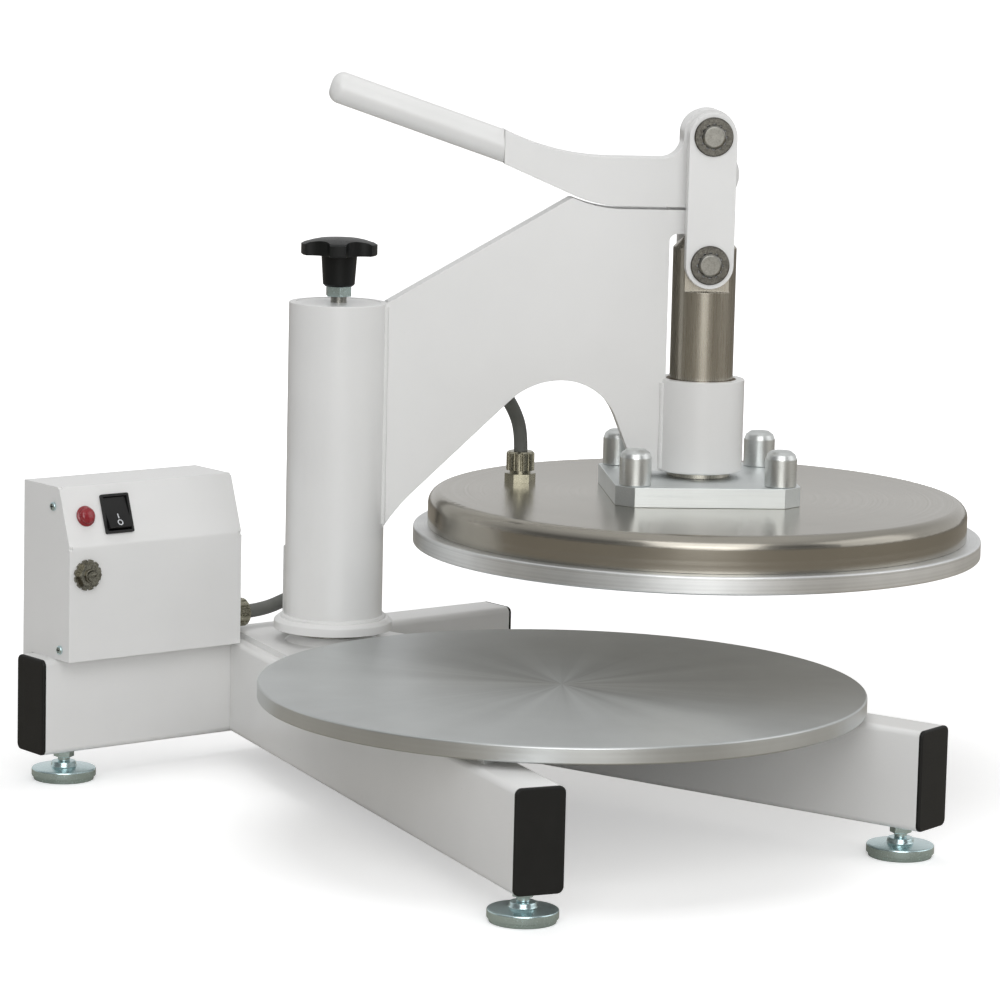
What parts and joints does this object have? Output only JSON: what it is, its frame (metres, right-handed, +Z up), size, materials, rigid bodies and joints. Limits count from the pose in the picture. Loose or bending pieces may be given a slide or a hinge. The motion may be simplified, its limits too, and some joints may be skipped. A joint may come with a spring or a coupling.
{
  "type": "pizza dough press",
  "caption": "Swing-arm manual dough press with a heated round upper platen, over-centre lever and links, fixed lower platen, tube frame and control box.",
  "frame": {"origin": "centre of the lower platen's top face", "axes": "+Z up, +X right and -Y to the front of the frame, so that the two legs point to -Y"},
  "size_m": [0.707, 0.6601, 0.56],
  "materials": {
    "white_paint": "near-white powder coat",
    "black_plastic": "black moulded plastic",
    "knob_plastic": "black moulded knob",
    "spun_aluminium": "turned face with fine circular marks",
    "platen_aluminium": "bright turned aluminium",
    "cast_aluminium": "tumbled aluminium",
    "stainless": "spun stainless",
    "ram_steel": "ground and plated bar",
    "plain_steel": "plain turned steel",
    "ring_steel": "dark spring steel",
    "zinc": "bright zinc plate",
    "bronze": "oiled bronze",
    "element_sheath": "dull sheath",
    "gland_metal": "nickel plate",
    "thermostat_metal": "plated steel",
    "lamp_red": "red lens",
    "cable_sheath": "dark grey sheath"
  },
  "bodies": {
    "root": {"rear_cross_tube": "white_paint", "left_leg": "white_paint", "right_leg": "white_paint", "tube_end_caps": "black_plastic", "base_plate": "white_paint", "lower_platen": "spun_aluminium", "lower_platen_bolts": "plain_steel", "foot_nuts": "zinc", "inner_post": "plain_steel", "swing_stops": "white_paint", "control_box_base": "white_paint", "control_box_cover": "white_paint", "cover_screws": "zinc", "indicator_lamp": "lamp_red", "switch_housing": "black_plastic", "thermostat_body": "thermostat_metal", "thermostat_bezel": "thermostat_metal", "box_glands": "gland_metal", "cable_swing_stretch": "cable_sheath"},
    "turntable": {"thrust_disc": "bronze", "cable_lift_stretch": "cable_sheath"},
    "arm": {"column_sleeve": "white_paint", "stop_collar": "white_paint", "sleeve_cap": "white_paint", "column_bushings": "bronze", "stop_lug": "white_paint", "arm_plate": "white_paint", "guide_collar": "white_paint", "ram_bushings": "bronze", "pivot_pin": "plain_steel", "cable_clip": "zinc", "cable_arm_run": "cable_sheath", "cable_platen_stretch": "cable_sheath"},
    "knob": {"adjusting_screw": "plain_steel", "knob_nut": "zinc", "star_knob": "knob_plastic"},
    "handle": {"handle_plate": "white_paint", "handle_grip": "white_paint", "crank_pin": "plain_steel", "crank_pin_rings": "ring_steel", "link_spacers": "white_paint"},
    "links": {"links": "white_paint", "lower_pin_ends": "plain_steel", "lower_pin_rings": "ring_steel"},
    "ram": {"ram": "ram_steel", "ram_cross_pin": "plain_steel", "mounting_block": "cast_aluminium", "block_studs": "plain_steel", "stud_caps": "cast_aluminium", "platen_standoffs": "plain_steel", "platen_cover": "stainless", "heated_platen": "platen_aluminium", "heating_element": "element_sheath", "platen_gland": "gland_metal"},
    "rocker": {"switch_rocker": "black_plastic"},
    "thermostat_stem": {"thermostat_stem": "thermostat_metal"},
    "foot_rear_left": {"foot_rear_left": "zinc"},
    "foot_rear_right": {"foot_rear_right": "zinc"},
    "foot_front_left": {"foot_front_left": "zinc"},
    "foot_front_right": {"foot_front_right": "zinc"}
  },
  "joints": [
    {"name": "arm_swing", "type": "hinge", "parent": "root", "child": "turntable", "pos_m": [0, 0.2921, 0.2], "axis": [0, 0, 1], "range_deg": [-56.8, 0], "deforming": ["cable_swing_stretch"]},
    {"name": "height_slide", "type": "slide", "parent": "turntable", "child": "arm", "axis": [0, 0, 1], "range_m": [-0.004, 0.004], "deforming": ["cable_lift_stretch"]},
    {"name": "knob_turn", "type": "hinge", "parent": "turntable", "child": "knob", "pos_m": [0, 0.2921, 0.28], "axis": [0, 0, 1], "range_deg": [-740, 740]},
    {"name": "handle_swing", "type": "hinge", "parent": "arm", "child": "handle", "pos_m": [0.24442, 0.13216, 0.3669], "axis": [0.5476, 0.8368, 0], "range_deg": [0, 160]},
    {"name": "link_turn", "type": "hinge", "parent": "handle", "child": "links", "pos_m": [0.24442, 0.13216, 0.3979], "axis": [0.5476, 0.8368, 0], "range_deg": [-154, 0]},
    {"name": "ram_slide", "type": "slide", "parent": "arm", "child": "ram", "axis": [0, 0, -1], "range_m": [0, 0.0596], "deforming": ["cable_platen_stretch"]},
    {"name": "rocker_tilt", "type": "hinge", "parent": "root", "child": "rocker", "pos_m": [-0.173, 0.34737, 0.09531], "axis": [1, 0, 0], "range_deg": [0, 22]},
    {"name": "thermostat_turn", "type": "hinge", "parent": "root", "child": "thermostat_stem", "pos_m": [-0.205, 0.33775, 0.051], "axis": [0, -1, 0], "range_deg": [-300, 0]},
    {"name": "foot_rear_left_turn", "type": "hinge", "parent": "root", "child": "foot_rear_left", "pos_m": [-0.202, 0.3736, -0.1], "axis": [0, 0, 1], "continuous": true},
    {"name": "foot_rear_right_turn", "type": "hinge", "parent": "root", "child": "foot_rear_right", "pos_m": [0.202, 0.3736, -0.1], "axis": [0, 0, 1], "continuous": true},
    {"name": "foot_front_left_turn", "type": "hinge", "parent": "root", "child": "foot_front_left", "pos_m": [-0.18034, -0.18314, -0.1], "axis": [0, 0, 1], "continuous": true},
    {"name": "foot_front_right_turn", "type": "hinge", "parent": "root", "child": "foot_front_right", "pos_m": [0.18034, -0.18314, -0.1], "axis": [0, 0, 1], "continuous": true}
  ],
  "couplings": [
    {"joint": "knob_turn", "follows": "height_slide", "rad_per_m": -3215.6},
    {"joint": "link_turn", "follows": "handle_swing", "ratio": -0.9625},
    {"joint": "ram_slide", "follows": "handle_swing", "m_per_rad": 0.02133}
  ]
}
